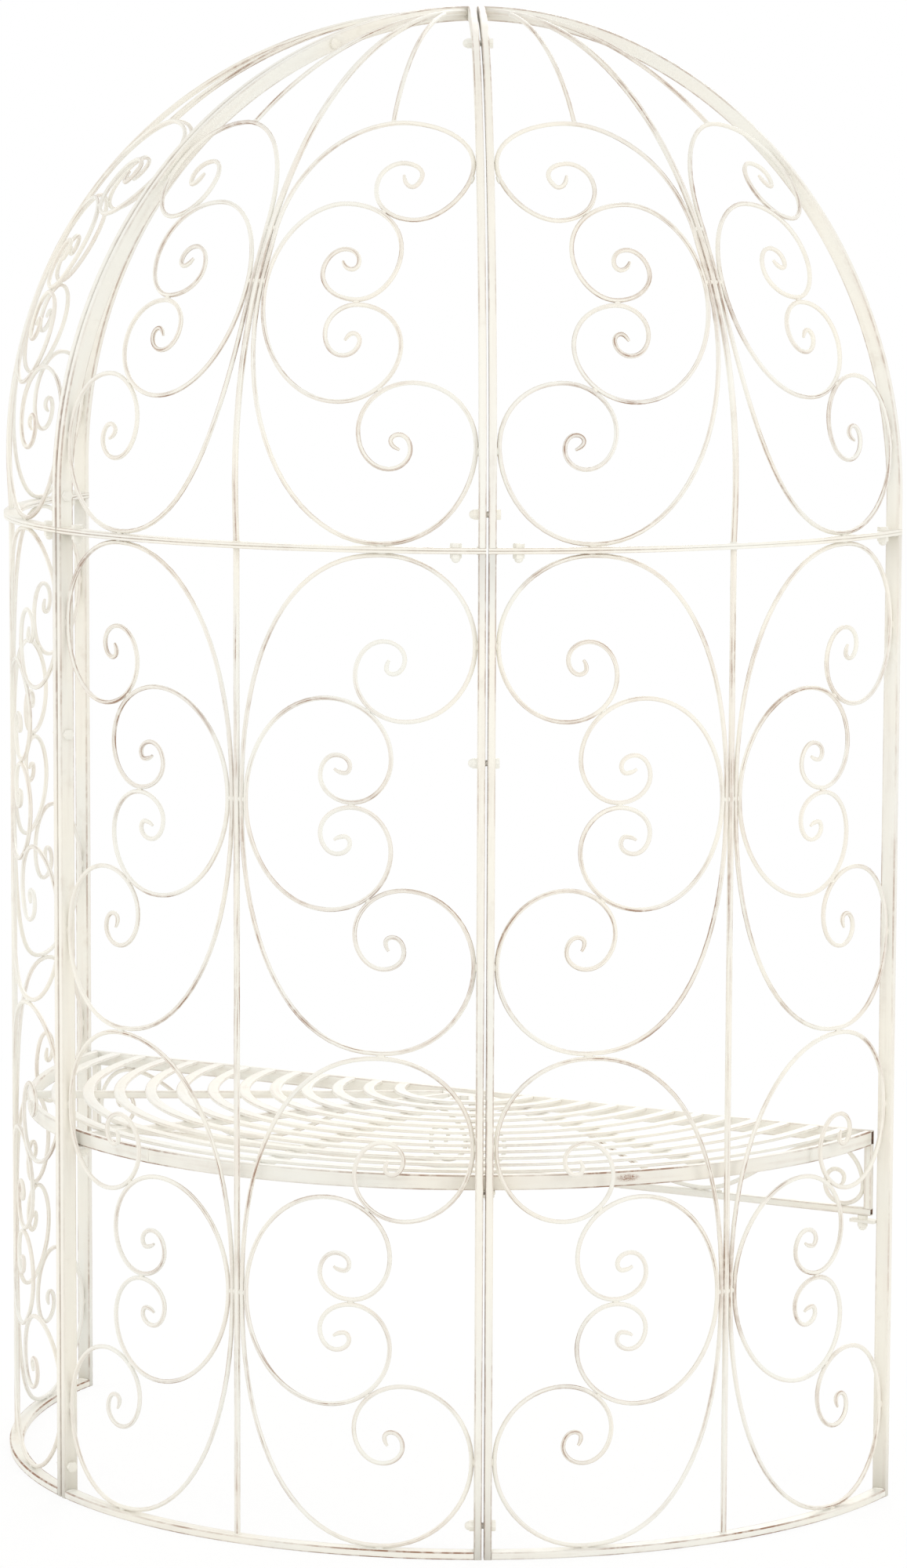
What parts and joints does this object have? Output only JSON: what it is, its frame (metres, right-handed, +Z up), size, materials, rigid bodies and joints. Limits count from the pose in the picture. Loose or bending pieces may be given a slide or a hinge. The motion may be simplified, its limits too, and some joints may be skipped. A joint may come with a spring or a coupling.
{
  "type": "arbour seat",
  "caption": "Half-round garden arbour of cream painted steel, with scrollwork wall panels, a quarter-dome roof of curved gores and a slatted half-round seat.",
  "frame": {"origin": "bottom centre of the bounding box: on the floor, midway between the open front and the back of the wall", "axes": "+Z up, +Y to the back wall and -Y out of the open front, +X to the right as seen from in front; node names use left and right as seen from in front"},
  "size_m": [1.3, 0.6486, 2.0098],
  "materials": {
    "wall_paint": "satin cream paint, a little uneven, with thin brown rub-through along edges",
    "dome_paint": "satin cream paint, a little uneven, with thin brown rub-through along edges",
    "seat_paint": "satin cream paint, a little uneven, with thin brown rub-through along edges",
    "fastener_paint": "satin cream paint, a little uneven, with thin brown rub-through along edges"
  },
  "bodies": {
    "root": {"left_wall_bottom_rail": "wall_paint", "left_wall_top_bar": "wall_paint", "left_wall_center_rod": "wall_paint", "left_wall_large_scrolls": "wall_paint", "left_wall_inner_scrolls": "wall_paint", "left_wall_uprights": "wall_paint", "left_dome_base_bar": "dome_paint", "left_dome_center_rod": "dome_paint", "left_dome_large_scrolls": "dome_paint", "left_dome_inner_scrolls": "dome_paint", "left_dome_crown_rods": "dome_paint", "left_dome_ribs": "dome_paint", "back_wall_bottom_rail": "wall_paint", "back_wall_top_bar": "wall_paint", "back_wall_center_rod": "wall_paint", "back_wall_large_scrolls": "wall_paint", "back_wall_inner_scrolls": "wall_paint", "back_wall_uprights": "wall_paint", "back_dome_base_bar": "dome_paint", "back_dome_center_rod": "dome_paint", "back_dome_large_scrolls": "dome_paint", "back_dome_inner_scrolls": "dome_paint", "back_dome_crown_rods": "dome_paint", "back_dome_ribs": "dome_paint", "right_wall_bottom_rail": "wall_paint", "right_wall_top_bar": "wall_paint", "right_wall_center_rod": "wall_paint", "right_wall_large_scrolls": "wall_paint", "right_wall_inner_scrolls": "wall_paint", "right_wall_uprights": "wall_paint", "right_dome_base_bar": "dome_paint", "right_dome_center_rod": "dome_paint", "right_dome_large_scrolls": "dome_paint", "right_dome_inner_scrolls": "dome_paint", "right_dome_crown_rods": "dome_paint", "right_dome_ribs": "dome_paint", "seat_rim_left": "seat_paint", "seat_rim_back": "seat_paint", "seat_rim_right": "seat_paint", "seat_front_rail": "seat_paint", "seat_slats": "seat_paint", "seat_stays": "seat_paint", "seat_hub": "seat_paint", "apron_scrolls": "seat_paint", "apron_lower_rail": "seat_paint", "apron_end_posts": "seat_paint", "front_seat_tabs": "seat_paint", "rear_seat_tabs": "seat_paint", "seam_bolts": "fastener_paint", "seam_cap_nuts": "fastener_paint", "ring_bolts": "fastener_paint", "ring_cap_nuts": "fastener_paint", "seat_bolts": "fastener_paint", "seat_cap_nuts": "fastener_paint"}
  },
  "joints": []
}
